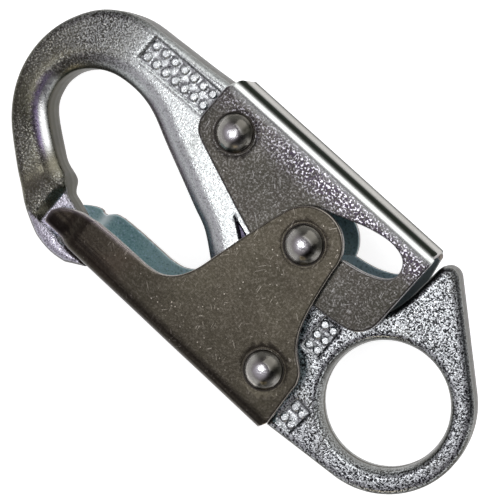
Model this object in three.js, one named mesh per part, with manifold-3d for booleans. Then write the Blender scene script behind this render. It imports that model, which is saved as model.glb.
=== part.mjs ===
// Double-locking safety snap hook, lying on its side.
// +X runs from the eye to the bow, +Y from the spine to the gate, +Z through the thickness.
// The shapes are drawn round the centre of the eye and the mid-plane of the forging, and the
// group is then lifted so that the origin is the middle of the footprint. Millimetres.
import * as THREE from 'three';
import { mergeVertices } from 'three/addons/utils/BufferGeometryUtils.js';
import Module from 'manifold-3d';

const wasm = await Module();
wasm.setup();

// ---------------------------------------------------------------- driving dimensions
const FIT = 0.3;                  // running clearance between neighbouring pieces
const EYE_BORE = 13.5;            // radius of the webbing eye
const EYE_RIM = 18.9;             // outer radius of the eye
const EYE_HALF = 4.6;             // half thickness of the eye
const BOW_HALF = 5.5;             // half thickness of the spine, bow and nose
const NOSE_HALF = 3.5;            // half thickness of the nose between the gate cheeks
const EDGE = 1.1;                 // rounding of the forging's edges
const SHEET = 2.0;                // gate and lock plate thickness
const GATE_HALF = 10.1;           // outer half width of the gate channel
const GATE_WEB = 20.9;            // outer face of the gate web
const GATE_END = 16.4;            // hinge end of the gate channel
const GATE_WEB_TIP = 74.8;        // free end of the gate web
const JOGGLE = { from: 72, to: 76.5, depth: 1.4 };   // inward step of the gate cheeks
const LOCK_HALF = 7.8;            // outer half width of the lock channel
const LOCK_WEB = -31.4;           // outer face of the lock web
const LOCK_WEB_END = 12.9;        // end of the lock web, set back from the cheeks
const BEND = 2.6;                 // outer bend radius of both channels
const GATE_PIVOT = [23.5, 10.4];
const LOCK_PIVOT = [61.2, -22.2];
const LATCH = [34.4, -15.0];      // latch rivet, fixed in the gate ears
const GATE_OPENING = 28;          // degrees the gate swings inward
const LOCK_TRAVEL = 10;           // degrees the lock turns while the gate opens
const SHANK = 2.4;                // rivet shank radius at the pivots
const LATCH_SHANK = 2.1;          // shank radius of the latch rivet
const HEAD = { radius: 4.2, height: 2.5 };
const BUSH = { bore: SHANK + FIT, radius: 3.6 };
const POCKET_HALF = 3.3;          // half thickness left under the gate spring
const LOCK_POCKET_HALF = 2.6;     // half thickness left under the lock spring
const MARK_DEPTH = 0.5;           // depth of the blank marking recesses
const PAST = 1;                   // how far a cutting tool runs past the surface

// ---------------------------------------------------------------- drawing helpers
const radians = THREE.MathUtils.degToRad;

function points(list) {
  return list.map(([x, y]) => new THREE.Vector2(x, y));
}

function arc(centre, radius, from, to, steps) {
  return Array.from({ length: steps + 1 }, (_, i) => {
    const angle = radians(from + ((to - from) * i) / steps);
    return new THREE.Vector2(
      centre[0] + radius * Math.cos(angle),
      centre[1] + radius * Math.sin(angle),
    );
  });
}

function spline(list, steps) {
  return new THREE.SplineCurve(points(list)).getPoints(steps);
}

function turned(point, centre, degrees) {
  const p = new THREE.Vector2(...point);
  p.rotateAround(new THREE.Vector2(...centre), radians(degrees));
  return [p.x, p.y];
}

// ---------------------------------------------------------------- solids
function solid(geometry) {
  const bare = geometry.index ? geometry.toNonIndexed() : geometry.clone();
  bare.deleteAttribute('normal');
  bare.deleteAttribute('uv');
  const merged = mergeVertices(bare, 1e-5);
  return new wasm.Manifold(new wasm.Mesh({
    numProp: 3,
    vertProperties: new Float32Array(merged.attributes.position.array),
    triVerts: new Uint32Array(merged.index.array),
  }));
}

function geometryOf(manifold) {
  const mesh = manifold.getMesh();
  const geometry = new THREE.BufferGeometry();
  geometry.setAttribute('position', new THREE.BufferAttribute(mesh.vertProperties, 3));
  geometry.setIndex(new THREE.BufferAttribute(mesh.triVerts, 1));
  geometry.computeVertexNormals();
  return geometry;
}

// A flat outline pulled from z = low to z = high, with its edges rounded where edge > 0.
function slab(outline, low, high, { holes = [], edge = 0, segments = 2 } = {}) {
  const shape = new THREE.Shape(outline);
  shape.holes = holes.map((hole) => new THREE.Path(hole));
  const geometry = new THREE.ExtrudeGeometry(shape, {
    depth: high - low - 2 * edge,
    bevelEnabled: edge > 0,
    bevelThickness: edge,
    bevelSize: edge,
    bevelOffset: -edge,
    bevelSegments: segments,
  });
  geometry.translate(0, 0, low + edge);
  return solid(geometry);
}

function rod(centre, radius, half, sides = 28) {
  const geometry = new THREE.CylinderGeometry(radius, radius, 2 * half, sides);
  geometry.rotateX(Math.PI / 2);
  geometry.translate(centre[0], centre[1], 0);
  return solid(geometry);
}

function block(x0, x1, y0, y1, z0, z1) {
  const geometry = new THREE.BoxGeometry(x1 - x0, y1 - y0, z1 - z0);
  geometry.translate((x0 + x1) / 2, (y0 + y1) / 2, (z0 + z1) / 2);
  return solid(geometry);
}

// The same tool on both faces of the forging.
function onBothFaces(body, tool) {
  return body.subtract(tool).subtract(tool.mirror([0, 0, 1]));
}

// ---------------------------------------------------------------- forged hook body
function hookOutline() {
  const lipFace = GATE_WEB + FIT + 0.1;
  const lipTip = [[69.6, lipFace], [67.7, 22.2]];
  const bow = [[72.2, 24.8], [75.8, 25.3], [79.5, 25], [82.6, 24], [88.2, 20.9], [95.2, 15.4],
    [102.2, 9], [106.4, 2.1], [108, -5.5], [107, -13], [103.6, -19.8], [99, -24.2],
    [93.1, -26.7], [85.2, -27.5], [75.8, -28.2], [69.9, -28.8]];
  const back = [[62, -28.8], [57, -27.8], [52, -25.4], [47.5, -21.5], [43.5, -15], [39.5, -11.8],
    [33, -11.2], [22, -11.8], [15.5, -13], [12.5, -16], [11.4, -20], [11, -24.5]];
  const guard = { centre: [8, -28.6], radius: 2.75 };
  const inner = [[48.5, 2.2], [53.5, -1.6], [58.5, -3.8], [65, -6.7], [72, -9.8], [77.8, -12.5],
    [82, -13.7], [86.5, -13.9], [91, -13.1], [95, -10.9], [97.7, -7.9], [98.8, -4.6],
    [98.7, -2], [97.8, 0.9], [95.6, 3.5], [91, 7.1], [87.6, 9.3], [84.8, 10.3]];
  return [
    ...points(lipTip),
    ...spline(bow, 34),
    ...spline(back, 26),
    ...arc(guard.centre, guard.radius, 0, -131, 8),
    ...arc([0, 0], EYE_RIM, 228.5, 98, 24),
    ...points([[15.7, 20.4], [15.7, 17.4]]),
    ...arc(GATE_PIVOT, 7, 90, 10, 8),
    ...points([[33.5, 9.2], [40, 6.6], [45, 4.4]]),
    ...spline(inner, 40),
    ...points([[83.3, 11.4], [81.5, 13.4], [79, 14.1], [76.2, 15], [76.2, lipFace]]),
  ].reverse();
}

function hookBody() {
  const bore = arc([0, 0], EYE_BORE, 0, 360, 40).slice(0, -1);
  let body = slab(hookOutline(), -BOW_HALF, BOW_HALF, { holes: [bore], edge: EDGE });

  // The eye is thinner than the spine: the step lies under the gate and lock cheeks.
  const eyeStep = new THREE.Shape(points([[-25, EYE_HALF], [25, EYE_HALF],
    [27, BOW_HALF + PAST], [-25, BOW_HALF + PAST]]));
  const eyeTool = new THREE.ExtrudeGeometry(eyeStep, { depth: 64, bevelEnabled: false });
  eyeTool.rotateX(Math.PI / 2);
  eyeTool.translate(0, 30, 0);
  body = onBothFaces(body, solid(eyeTool));

  // The nose narrows between the gate cheeks, with a slanted shoulder in front of the bow.
  const shoulder = new THREE.Shape(points([[75, NOSE_HALF], [82.2, NOSE_HALF],
    [82.2 + BOW_HALF + PAST - NOSE_HALF, BOW_HALF + PAST], [75, BOW_HALF + PAST]]));
  const shoulderTool = new THREE.ExtrudeGeometry(shoulder, { depth: 12, bevelEnabled: false });
  shoulderTool.rotateX(Math.PI / 2);
  shoulderTool.translate(0, GATE_WEB + FIT + 0.1, 0);
  body = onBothFaces(body, solid(shoulderTool));

  // Pockets round the pivots for the spring coils.
  const gatePocket = arc(GATE_PIVOT, 6.3, 0, 360, 28).slice(0, -1);
  body = onBothFaces(body, slab(gatePocket, POCKET_HALF, BOW_HALF + PAST));
  const lockPocket = [
    ...arc(LOCK_PIVOT, 6.2, 135, -90, 20),
    ...points([[58, -30], [46, -30], [46, -24.5]]),
  ].reverse();
  body = body.subtract(slab(lockPocket, -BOW_HALF - PAST, -LOCK_POCKET_HALF));

  // Pivot bores.
  body = body.subtract(rod(GATE_PIVOT, BUSH.radius + FIT, BOW_HALF + PAST));
  body = body.subtract(rod(LOCK_PIVOT, BUSH.radius + FIT, BOW_HALF + PAST));

  // Blank marking recesses on the near face.
  const marks = [
    { outline: [[10.4, 11.8], [14.6, 11.4], [15.3, 17.9], [11, 18.4]], face: EYE_HALF },
    { outline: [[17.3, -5.9], [21.7, -5.6], [21.4, 2.4], [17.1, 2]], face: EYE_HALF },
    { outline: [[69.2, -26.4], [88, -25.9], [88.2, -19.6], [69.4, -20.1]], face: BOW_HALF },
  ];
  for (const { outline, face } of marks) {
    body = body.subtract(slab(points(outline), face - MARK_DEPTH, face + PAST));
  }
  return body;
}

// ---------------------------------------------------------------- folded channels
// A U section with its web at y = web and its cheeks reaching to y = rim, swept along X
// through the given stations. inset(x) is how far the cheeks step inward there.
function channel({ web, rim, half, stations, inset = () => 0 }) {
  const up = Math.sign(web - rim);
  const outer = BEND;
  const inner = BEND - SHEET;
  const corner = (z, radius, from, to) =>
    arc([z, web * up - BEND], radius, from, to, 4).map((p) => new THREE.Vector2(p.x, p.y * up));
  const section = [
    new THREE.Vector2(-half, rim),
    ...corner(-half + BEND, outer, 180, 90),
    ...corner(half - BEND, outer, 90, 0),
    new THREE.Vector2(half, rim),
    new THREE.Vector2(half - SHEET, rim),
    ...corner(half - BEND, inner, 0, 90),
    ...corner(-half + BEND, inner, 90, 180),
    new THREE.Vector2(-half + SHEET, rim),
  ];
  const steps = stations.length - 1;
  const geometry = new THREE.ExtrudeGeometry(new THREE.Shape(section), {
    depth: steps,
    steps,
    bevelEnabled: false,
  });
  geometry.rotateY(Math.PI / 2);
  const position = geometry.attributes.position;
  for (let i = 0; i < position.count; i += 1) {
    const x = stations[Math.round(position.getX(i))];
    const z = position.getZ(i);
    position.setX(i, x);
    position.setZ(i, z - Math.sign(z) * inset(x));
  }
  return solid(geometry);
}

function gateKeeper() {
  const step = (x) => JOGGLE.depth * THREE.MathUtils.smoothstep(x, JOGGLE.from, JOGGLE.to);
  const joggle = [0, 0.2, 0.4, 0.6, 0.8, 1].map(
    (share) => THREE.MathUtils.lerp(JOGGLE.from, JOGGLE.to, share),
  );
  const shell = channel({
    web: GATE_WEB,
    rim: -26,
    half: GATE_HALF,
    stations: [14, ...joggle, 83],
    inset: step,
  });
  const cheek = [
    ...points([[GATE_END, GATE_WEB + PAST], [16.2, 10]]),
    ...spline([[16.3, 8], [17.6, 5.6], [21.4, 2.2], [23.8, -2.4], [25.3, -9], [26.3, -15.5]], 16),
    ...arc([34.3, -15.1], 8.1, 188, 345, 14),
    ...spline([[43.1, -14.5], [45.2, -7], [46.8, -1], [48.3, 4.4], [50.5, 8.3], [53.5, 10.6],
      [57, 11.3]], 14),
    ...points([[66, 11.4], [71, 11.7], [74.5, 12.5], [77.5, 13.8], [79.7, 15.2], [80.8, 16.9],
      [80.8, GATE_WEB + PAST]]),
  ];
  let gate = shell.intersect(slab(cheek, -GATE_HALF - PAST, GATE_HALF + PAST));
  const tipInner = GATE_HALF - SHEET - JOGGLE.depth;
  gate = gate.subtract(
    block(GATE_WEB_TIP, 82, GATE_WEB - BEND, GATE_WEB + PAST, -tipInner, tipInner),
  );
  gate = gate.subtract(rod(GATE_PIVOT, SHANK + FIT, GATE_HALF + PAST));
  return gate.subtract(rod(LATCH, LATCH_SHANK + FIT, GATE_HALF + PAST));
}

// The way of the latch rivet past the lock plate while both levers turn.
function latchWay() {
  const steps = 10;
  const way = Array.from({ length: steps + 1 }, (_, i) => {
    const share = i / steps;
    const carried = turned(LATCH, GATE_PIVOT, -GATE_OPENING * share);
    return turned(carried, LOCK_PIVOT, LOCK_TRAVEL * share);
  });
  const radius = LATCH_SHANK + FIT;
  let cut = rod(way[0], radius, LOCK_HALF + PAST, 20);
  for (let i = 1; i <= steps; i += 1) {
    const from = new THREE.Vector2(...way[i - 1]);
    const to = new THREE.Vector2(...way[i]);
    const middle = from.clone().add(to).multiplyScalar(0.5);
    const run = to.clone().sub(from);
    const bar = new THREE.BoxGeometry(run.length(), 2 * radius, 2 * (LOCK_HALF + PAST));
    bar.rotateZ(run.angle());
    bar.translate(middle.x, middle.y, 0);
    cut = cut.add(solid(bar)).add(rod(way[i], radius, LOCK_HALF + PAST, 20));
  }
  return cut;
}

function lockLever() {
  const shell = channel({ web: LOCK_WEB, rim: 0, half: LOCK_HALF, stations: [8, 40, 74] });
  const cheek = [
    ...spline([[12.2, -16], [12.3, -12], [13.4, -9.4], [15.8, -7.6], [20, -6.7]], 10),
    ...points([[25, -6.3], [38, -6.8], [44.8, -8.5], [50.1, -10.3], [60, -14]]),
    ...spline([[64, -15.5], [67.2, -17], [68.8, -19.4], [69, -22]], 8),
    ...points([[68.9, -28.3], [67.6, LOCK_WEB - PAST], [12.2, LOCK_WEB - PAST]]),
  ].reverse();
  const window = spline([[34, -17.2], [27.6, -17.6], [24, -18.1], [20.4, -19.1], [17, -20.9],
    [15.9, -23.2], [17.2, -26], [20.9, -27.1], [26, -26.4], [31, -24.7], [35.5, -22.6],
    [36.6, -19.4], [34, -17.2]], 30).slice(0, -1).reverse();
  let lock = shell.intersect(slab(cheek, -LOCK_HALF - PAST, LOCK_HALF + PAST));
  lock = lock.subtract(slab(window, -LOCK_HALF - PAST, LOCK_HALF + PAST));
  lock = lock.subtract(latchWay());
  const insideCheek = LOCK_HALF - SHEET;
  lock = lock.subtract(
    block(8, LOCK_WEB_END, LOCK_WEB - PAST, LOCK_WEB + BEND, -insideCheek, insideCheek),
  );
  return lock.subtract(rod(LOCK_PIVOT, SHANK + FIT, LOCK_HALF + PAST));
}

// ---------------------------------------------------------------- rivets and bushes
// A shank with a domed head on the outside of each cheek.
function rivet(centre, shank, half) {
  const seat = half + FIT / 2;
  const { radius, height } = HEAD;
  const ball = (radius * radius + height * height) / (2 * height);
  const sweep = Math.asin(radius / ball);
  const dome = Array.from({ length: 6 }, (_, i) => {
    const angle = sweep * (1 - i / 5);
    return new THREE.Vector2(
      i === 5 ? 0 : ball * Math.sin(angle),
      seat + height - ball * (1 - Math.cos(angle)),
    );
  });
  const upper = [new THREE.Vector2(shank, seat), ...dome];
  const lower = upper.map((p) => new THREE.Vector2(p.x, -p.y)).reverse();
  const geometry = new THREE.LatheGeometry([...lower, ...upper], 24);
  geometry.rotateX(Math.PI / 2);
  geometry.translate(centre[0], centre[1], 0);
  return solid(geometry);
}

function bush(centre, half) {
  return rod(centre, BUSH.radius, half, 24).subtract(rod(centre, BUSH.bore, half + PAST, 24));
}

// ---------------------------------------------------------------- springs
function wire(path, radius, steps) {
  const section = new THREE.Shape(arc([0, 0], radius, 0, 360, 6).slice(0, -1));
  return solid(new THREE.ExtrudeGeometry(section, {
    steps,
    extrudePath: new THREE.CatmullRomCurve3(path, false, 'centripetal'),
    bevelEnabled: false,
  }));
}

function coil(centre, radius, from, turns, z0, z1, perTurn = 12) {
  const count = Math.round(Math.abs(turns) * perTurn);
  return Array.from({ length: count + 1 }, (_, i) => {
    const angle = radians(from + (360 * turns * i) / count);
    return new THREE.Vector3(
      centre[0] + radius * Math.cos(angle),
      centre[1] + radius * Math.sin(angle),
      z0 + ((z1 - z0) * i) / count,
    );
  });
}

// Two coils round the gate pivot, joined by a bridge that bears on the gate web.
// The free ends bear on the wall of the forging's pockets.
function gateSpring() {
  const gauge = 0.6;
  const winding = 4.85;
  const near = coil(GATE_PIVOT, winding, 200, -2.25, POCKET_HALF + 0.95, GATE_HALF - SHEET - 0.95);
  const bridgeY = GATE_WEB - SHEET - FIT - gauge;
  const reach = near.at(-1).z;
  const half = [
    ...near,
    new THREE.Vector3(29.5, 16.6, reach),
    new THREE.Vector3(33, bridgeY, reach - 0.3),
    new THREE.Vector3(34, bridgeY, reach - 1.6),
  ];
  const far = half.map((p) => new THREE.Vector3(p.x, p.y, -p.z)).reverse();
  return wire([...half, ...far], gauge, 190);
}

// One coil on the far side of the lock pivot, from the forging to the inside of the lock web.
function lockSpring() {
  const gauge = 0.5;
  const winding = 4.6;
  const z0 = -LOCK_POCKET_HALF - 0.8;
  const z1 = -LOCK_HALF + SHEET + 0.8;
  const turns = coil(LOCK_PIVOT, winding, 60, 1.5, z0, z1);
  const web = LOCK_WEB + SHEET + FIT + gauge;
  return wire([
    ...turns,
    new THREE.Vector3(55.5, -27.3, z1),
    new THREE.Vector3(50, web + 0.1, z1),
    new THREE.Vector3(47.5, web, z1),
  ], gauge, 80);
}

// ---------------------------------------------------------------- assembly
function piece(name, manifold, color, roughness, metalness = 1) {
  const material = new THREE.MeshStandardMaterial({ color, roughness, metalness });
  const mesh = new THREE.Mesh(geometryOf(manifold), material);
  mesh.name = name;
  return mesh;
}

const FORGING = 0xa5a3a0;
const GATE_PLATE = 0x6b665a;
const LOCK_PLATE = 0x7a756b;
const RIVET = 0xb4b2ae;
const SPRING_WIRE = 0x8e8f90;
const BUSH_STEEL = 0x9b9a96;

const part = new THREE.Group();
part.add(
  piece('hook_body', hookBody(), FORGING, 0.42),
  piece('gate', gateKeeper(), GATE_PLATE, 0.3),
  piece('lock_lever', lockLever(), LOCK_PLATE, 0.34),
  piece('gate_pivot_rivet', rivet(GATE_PIVOT, SHANK, GATE_HALF), RIVET, 0.2),
  piece('gate_pivot_bush', bush(GATE_PIVOT, GATE_HALF - SHEET - FIT), BUSH_STEEL, 0.35),
  piece('lock_pivot_rivet', rivet(LOCK_PIVOT, SHANK, LOCK_HALF), RIVET, 0.2),
  piece('lock_pivot_bush', bush(LOCK_PIVOT, LOCK_HALF - SHEET - FIT), BUSH_STEEL, 0.35),
  piece('latch_rivet', rivet(LATCH, LATCH_SHANK, GATE_HALF), RIVET, 0.2),
  piece('gate_spring', gateSpring(), SPRING_WIRE, 0.3),
  piece('lock_spring', lockSpring(), SPRING_WIRE, 0.3),
);

// The origin goes under the middle of the assembly.
const box = new THREE.Box3().setFromObject(part);
part.position.set(
  -(box.min.x + box.max.x) / 2,
  -(box.min.y + box.max.y) / 2,
  -box.min.z,
);

export default part;
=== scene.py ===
"""Looks of a double-locking safety snap hook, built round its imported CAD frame.

The drawing frame is the CAD's: millimetres round the centre of the webbing eye and the
mid-plane of the forging, +X to the bow, +Y to the gate web, +Z to the near face.
ORIGIN carries it into the row frame, in metres.
"""
import math

import bpy
import numpy as np
from mathutils import Matrix, Vector, noise
from mathutils.geometry import delaunay_2d_cdt


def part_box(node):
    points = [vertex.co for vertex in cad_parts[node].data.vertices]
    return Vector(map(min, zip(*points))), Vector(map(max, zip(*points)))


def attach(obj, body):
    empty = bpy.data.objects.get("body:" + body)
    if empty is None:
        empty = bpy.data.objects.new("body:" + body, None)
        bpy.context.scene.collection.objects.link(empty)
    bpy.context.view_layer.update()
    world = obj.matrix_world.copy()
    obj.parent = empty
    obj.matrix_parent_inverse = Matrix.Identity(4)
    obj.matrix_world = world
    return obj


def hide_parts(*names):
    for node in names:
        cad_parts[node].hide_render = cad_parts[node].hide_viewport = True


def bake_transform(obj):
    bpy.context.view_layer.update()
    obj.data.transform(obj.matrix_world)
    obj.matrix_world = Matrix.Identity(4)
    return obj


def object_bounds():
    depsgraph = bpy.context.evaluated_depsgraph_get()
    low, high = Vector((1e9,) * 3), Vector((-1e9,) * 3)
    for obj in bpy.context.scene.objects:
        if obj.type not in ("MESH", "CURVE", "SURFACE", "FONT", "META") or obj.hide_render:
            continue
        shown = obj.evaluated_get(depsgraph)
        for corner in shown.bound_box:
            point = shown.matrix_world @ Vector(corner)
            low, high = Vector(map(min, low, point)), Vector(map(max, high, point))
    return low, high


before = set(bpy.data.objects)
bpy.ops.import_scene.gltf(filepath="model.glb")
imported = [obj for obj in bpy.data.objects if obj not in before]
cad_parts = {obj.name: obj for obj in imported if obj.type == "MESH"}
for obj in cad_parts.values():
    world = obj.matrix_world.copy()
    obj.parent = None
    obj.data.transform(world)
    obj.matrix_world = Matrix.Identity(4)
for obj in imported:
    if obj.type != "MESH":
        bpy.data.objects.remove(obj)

CAD_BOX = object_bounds()
MM = 0.001

# ---------------------------------------------------------------- driving dimensions, mm
# A name in _HALF is half a size along z, and one in _WEB is the y of a web's outer face.
EYE_BORE = 13.5
EYE_RIM = 18.9
EYE_HALF = 4.6
BOW_HALF = 5.5
NOSE_HALF = 3.5
SHEET = 2.0
BEND = 2.6
GATE_HALF = 10.1
GATE_WEB = 20.9
GATE_END, GATE_CHEEK_END = 16.4, 15.5       # x of the hinge end, on the web and on the cheeks
GATE_WEB_TIP = 74.8
JOGGLE_FROM, JOGGLE_TO, JOGGLE_DEPTH = 72.0, 76.5, 1.4
LOCK_HALF = 7.8
LOCK_WEB = -31.4
LOCK_END = 12.2
LOCK_WEB_END = 12.9
FAR_CHEEK_REACH = 2.8       # the far lock cheek runs this much further towards the eye
RIM_DIP, RIM_DIP_X = 1.2, 74.6      # dip in the far gate cheek's rim, beside its joggle
GATE_PIVOT = (23.5, 10.4)
LOCK_PIVOT = (61.2, -22.2)
LATCH = (34.4, -15.0)
GATE_OPENING, LOCK_TRAVEL = 28.0, 10.0
PIVOT_SHANK, LATCH_SHANK = 2.4, 2.1
HEAD_RADIUS, HEAD_HEIGHT = 4.2, 2.5
FLANGE_RADIUS = 4.5
PRESSED_RINGS = (4.35, 4.62, 4.9)       # radii of the faint ring pressed round each rivet
FIT = 0.3                   # gap that touching pieces keep
BUSH_RADIUS = 3.6
POCKET_RADIUS, POCKET_HALF = 6.3, 3.3
LOCK_POCKET_RADIUS, LOCK_POCKET_HALF = 6.2, 2.6
MID_BEND = BEND - SHEET / 2     # radius of the sheet's middle round a bend
BEND_RUN = MID_BEND * math.pi / 2

BODY_LOW, BODY_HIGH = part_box("hook_body")
ORIGIN = Vector((BODY_LOW.x + EYE_RIM * MM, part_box("gate")[1].y - GATE_WEB * MM,
                 (BODY_LOW.z + BODY_HIGH.z) / 2))


def row(x, y, z):
    """A drawing point in the row frame, in metres."""
    return Vector((x, y, z)) * MM + ORIGIN


# ---------------------------------------------------------------- outlines
def spline(points, steps):
    """A Catmull-Rom curve through the points, evenly stepped in its parameter."""
    p = np.array(points, float)
    last = len(p) - 1
    t = np.linspace(0, last, steps + 1)
    i = np.minimum(t.astype(int), last - 1)
    w = (t - i)[:, None]
    p0, p1 = p[np.maximum(i - 1, 0)], p[i]
    p2, p3 = p[i + 1], p[np.minimum(i + 2, last)]
    v0, v1 = (p2 - p0) / 2, (p3 - p1) / 2
    return ((2 * p1 - 2 * p2 + v0 + v1) * w ** 3
            + (-3 * p1 + 3 * p2 - 2 * v0 - v1) * w ** 2 + v0 * w + p1)


def arc(centre, radius, start, end, steps=24):
    a = np.radians(np.linspace(start, end, steps + 1))
    return np.array(centre) + radius * np.stack([np.cos(a), np.sin(a)], 1)


def circle(centre, radius, steps=48):
    return arc(centre, radius, 0, 360, steps)[:-1]


def join(*stretches):
    return np.vstack([np.array(s, float) for s in stretches])


def turned(point, centre, degrees):
    a = math.radians(degrees)
    x, y = point[0] - centre[0], point[1] - centre[1]
    return (centre[0] + x * math.cos(a) - y * math.sin(a),
            centre[1] + x * math.sin(a) + y * math.cos(a))


def resample(loop, step, corner=25.0, soften=0.0):
    """A closed loop with even spacing between its corners. soften rounds each corner."""
    ahead = np.roll(loop, -1, 0) - loop
    loop = loop[np.hypot(*ahead.T) > 1e-6]
    ahead = np.roll(loop, -1, 0) - loop
    behind = np.roll(ahead, 1, 0)
    turn = (np.arctan2(ahead[:, 1], ahead[:, 0]) - np.arctan2(behind[:, 1], behind[:, 0]))
    turn = np.abs((turn + math.pi) % (2 * math.pi) - math.pi)
    corners = np.flatnonzero(turn > math.radians(corner))
    if len(corners) == 0:
        corners = np.array([0])
    out = []
    for a, b in zip(corners, np.roll(corners, -1)):
        count = (b - a) % len(loop) or len(loop)
        run = loop[(a + np.arange(count + 1)) % len(loop)]
        length = np.concatenate([[0], np.cumsum(np.hypot(*np.diff(run, axis=0).T))])
        trim = min(soften, length[-1] / 3) if len(corners) > 1 else 0
        marks = np.linspace(trim, length[-1] - trim, max(2, int(round(length[-1] / step)) + 1))
        even = np.stack([np.interp(marks, length, run[:, k]) for k in (0, 1)], 1)
        out.append(join(even, [even[-1] * 0.25 + loop[b] * 0.75]) if trim else even[:-1])
    return np.vstack(out)


def normals(loop, closed=True):
    """Unit normals of a loop's points, to the right of its direction."""
    if closed:
        d = np.roll(loop, -1, 0) - np.roll(loop, 1, 0)
    else:
        d = np.gradient(loop, axis=0)
    d /= np.maximum(np.hypot(*d.T), 1e-9)[:, None]
    return np.stack([d[:, 1], -d[:, 0]], 1)


def in_blocks(points, work, size=2000):
    """What work makes of the points, done a block at a time to keep its arrays small."""
    starts = range(0, max(len(points), 1), size)
    return np.concatenate([work(points[s:s + size]) for s in starts])


def distance(points, line, closed=True):
    """How far each point is from a polyline."""
    a = line if closed else line[:-1]
    b = np.roll(line, -1, 0) if closed else line[1:]
    ab = b - a
    square = np.maximum((ab ** 2).sum(1), 1e-12)

    def nearest(block):
        p = block[:, None, :] - a[None]
        t = np.clip((p * ab[None]).sum(2) / square[None], 0, 1)
        gap = p - t[..., None] * ab[None]
        return np.sqrt((gap ** 2).sum(2).min(1))

    return in_blocks(points, nearest)


def inside(points, loop):
    a, b = loop, np.roll(loop, -1, 0)
    rise = np.where(b[:, 1] == a[:, 1], 1e-12, b[:, 1] - a[:, 1])

    def crossed_oddly(block):
        x, y = block[:, None, 0], block[:, None, 1]
        spans = (a[None, :, 1] > y) != (b[None, :, 1] > y)
        cross = a[None, :, 0] + (y - a[None, :, 1]) * ((b - a)[:, 0] / rise)[None]
        return (spans & (x < cross)).sum(1) % 2 == 1

    return in_blocks(points, crossed_oddly)


def signed(points, loop):
    """Distance to a loop, negative inside it."""
    return distance(points, loop) * np.where(inside(points, loop), -1, 1)


def radius_from(points, centre):
    return np.hypot(*(points - np.array(centre)).T)


def smooth(t):
    t = np.clip(t, 0, 1)
    return t * t * (3 - 2 * t)


def ramp(value, start, end):
    """Rises smoothly from 0 at start to 1 at end; end may be the lower of the two."""
    return smooth((value - start) / (end - start))


def hump(offset, width):
    return np.exp(-(offset / width) ** 2)


def waves(points, scale, layer):
    """Slow unevenness over the points, between about -1 and 1."""
    return np.array([noise.noise(Vector((x * scale, y * scale, layer))) for x, y in points])


def rounded(d, width, depth, power=2.0):
    """How far an edge drops at distance d: a superellipse quarter, power 1 a straight chamfer."""
    t = np.clip(d / width, 0, 1)
    return depth * (1 - (1 - (1 - t) ** power) ** (1 / power))


# ---------------------------------------------------------------- plates
def flat_mesh(outline, holes, rings, features, xs, ys, clearance):
    """Triangles that fill an outline less its holes, with rows of points that follow the
    edges (rings) and the feature lines (line, closed, offsets), and a lattice between."""
    loops = [outline, *holes]

    def in_material(points):
        keep = inside(points, outline)
        for hole in holes:
            keep &= ~inside(points, hole)
        return keep

    def to_edge(points):
        return np.min([distance(points, loop) for loop in loops], 0)

    def free(points, gap):
        points = points[in_material(points)]
        return points[to_edge(points) > gap]

    rows = []
    for offset in rings:
        for loop in loops:
            for side in (1, -1):
                points = free(loop + side * offset * normals(loop), 0.5 * offset)
                off_ring = np.abs(to_edge(points) - offset)
                rows.append(points[off_ring < 0.03 + 0.05 * offset])
    for line, closed, offsets in features:
        n = normals(line, closed)
        rows += [free(line + offset * n, 0.06) for offset in offsets]
    rows = np.vstack(rows)
    gx, gy = np.meshgrid(xs, ys)
    lattice = free(np.stack([gx.ravel(), gy.ravel()], 1), clearance)
    gap = in_blocks(
        lattice, lambda p: np.sqrt(((p[:, None, :] - rows[None]) ** 2).sum(2).min(1)), 1000)
    lattice = lattice[gap > 0.3]
    edges, base = [], 0
    for loop in loops:
        edges += [(base + i, base + (i + 1) % len(loop)) for i in range(len(loop))]
        base += len(loop)
    points = np.vstack([*loops, rows, lattice])
    verts, _, faces, *_ = delaunay_2d_cdt(
        [Vector(p) for p in points], edges, [], 0, 1e-5, False)
    verts = np.array([tuple(v) for v in verts])
    faces = np.array([f for f in faces if len(f) == 3])
    faces = faces[in_material(verts[faces].mean(1))]
    a, b, c = (verts[faces[:, k]] for k in range(3))
    area = (b - a)[:, 0] * (c - a)[:, 1] - (b - a)[:, 1] * (c - a)[:, 0]
    faces[area < 0] = faces[area < 0][:, ::-1]
    faces = faces[np.abs(area) > 1e-7]
    used, renumbered = np.unique(faces, return_inverse=True)
    return verts[used], renumbered.reshape(faces.shape)


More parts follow.
